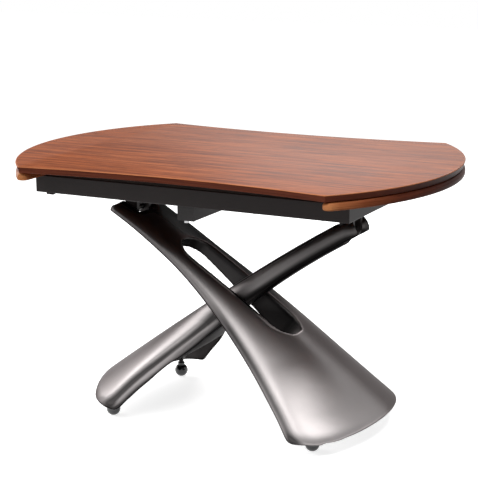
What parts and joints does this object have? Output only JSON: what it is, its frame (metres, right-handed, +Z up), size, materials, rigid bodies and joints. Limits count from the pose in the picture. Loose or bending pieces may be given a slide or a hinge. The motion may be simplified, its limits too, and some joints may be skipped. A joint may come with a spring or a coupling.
{
  "type": "convertible coffee dining table",
  "caption": "Height-adjustable table on crossing sculpted scissor legs, with a bowed walnut top on a black frame and end leaves that pull out from under it.",
  "frame": {"origin": "centre of the table on the floor, at dining height", "axes": "+X along the table's length towards the foot of the slotted leg, +Y away from the viewer, +Z up"},
  "size_m": [1.237, 0.845, 0.75],
  "materials": {
    "walnut_top": "satin walnut veneer",
    "walnut_leaf": "satin walnut veneer",
    "black_frame": "satin black powder coat",
    "pewter_leg": "satin pewter metallic coat",
    "black_ball": "gloss",
    "bright_steel": "zinc plated",
    "slide_alloy": "mill",
    "bronze": "turned",
    "black_nylon": "moulded",
    "batten_wood": "stained black",
    "slide_tape": "low friction tape"
  },
  "bodies": {
    "feet_right": {"foot_balls_right": "black_ball", "foot_stems_right": "black_frame"},
    "leg_a": {"slotted_leg": "pewter_leg", "pivot_shaft": "bright_steel", "pivot_cap": "black_nylon", "hinge_pin_left": "bright_steel", "foot_pins_right": "bright_steel"},
    "leg_b": {"inner_leg": "pewter_leg", "pivot_bushes": "bronze", "hinge_pin_right": "bright_steel", "foot_pins_left": "bright_steel"},
    "carriage_left": {"carriage_left": "black_frame", "glide_shoes_left": "black_nylon", "gas_spring_cylinder": "black_frame"},
    "carriage_right": {"carriage_right": "black_frame", "glide_shoes_right": "black_nylon", "gas_spring_rod": "bright_steel"},
    "feet_left": {"foot_balls_left": "black_ball", "foot_stems_left": "black_frame"},
    "frame": {"table_top": "walnut_top", "slide_tapes": "slide_tape", "top_batten_front": "batten_wood", "top_batten_back": "batten_wood", "leaf_slide_channels_left": "bright_steel", "leaf_slide_channels_right": "bright_steel", "frame_rail_front": "black_frame", "frame_rail_back": "black_frame", "frame_rail_left": "black_frame", "frame_rail_right": "black_frame", "cross_beam": "black_frame", "beam_plugs": "black_nylon", "beam_bolts": "bright_steel", "beam_nuts": "bright_steel", "top_screws": "bright_steel", "guide_rail_front": "black_frame", "guide_rail_back": "black_frame", "tab_staple": "black_frame"},
    "leaf_left": {"end_leaf_left": "walnut_leaf", "leaf_slide_bars_left": "slide_alloy"},
    "leaf_right": {"end_leaf_right": "walnut_leaf", "leaf_slide_bars_right": "slide_alloy"},
    "release_tab": {"release_tab": "black_frame"}
  },
  "joints": [
    {"name": "lift", "type": "hinge", "parent": "feet_right", "child": "leg_a", "pos_m": [0.314, 0, 0.066], "axis": [0, -1, 0], "range_deg": [0, 24]},
    {"name": "leg_cross", "type": "hinge", "parent": "leg_a", "child": "leg_b", "pos_m": [0, 0, 0.33338], "axis": [0, -1, 0], "range_deg": [-48, 0]},
    {"name": "carriage_left_turn", "type": "hinge", "parent": "leg_a", "child": "carriage_left", "pos_m": [-0.33547, 0, 0.56815], "axis": [0, -1, 0], "range_deg": [-24, 0]},
    {"name": "carriage_right_turn", "type": "hinge", "parent": "leg_b", "child": "carriage_right", "pos_m": [0.33547, 0, 0.56815], "axis": [0, -1, 0], "range_deg": [0, 24]},
    {"name": "feet_left_turn", "type": "hinge", "parent": "leg_b", "child": "feet_left", "pos_m": [-0.314, 0, 0.066], "axis": [0, -1, 0], "range_deg": [0, 24]},
    {"name": "frame_slide", "type": "slide", "parent": "carriage_left", "child": "frame", "axis": [1, 0, 0], "range_m": [0, 0.067]},
    {"name": "leaf_left_slide", "type": "slide", "parent": "frame", "child": "leaf_left", "axis": [-1, 0, 0], "range_m": [0, 0.25]},
    {"name": "leaf_right_slide", "type": "slide", "parent": "frame", "child": "leaf_right", "axis": [1, 0, 0], "range_m": [0, 0.25]},
    {"name": "tab_pull", "type": "slide", "parent": "frame", "child": "release_tab", "axis": [0, -1, 0], "range_m": [0, 0.012], "stiffness_N_per_m": 300}
  ],
  "couplings": [
    {"joint": "leg_cross", "follows": "lift", "ratio": -2},
    {"joint": "carriage_left_turn", "follows": "lift", "ratio": -1},
    {"joint": "carriage_right_turn", "follows": "lift", "ratio": 1},
    {"joint": "feet_left_turn", "follows": "lift", "ratio": 1},
    {"joint": "frame_slide", "follows": "lift", "m_per_rad": 0.15873}
  ]
}
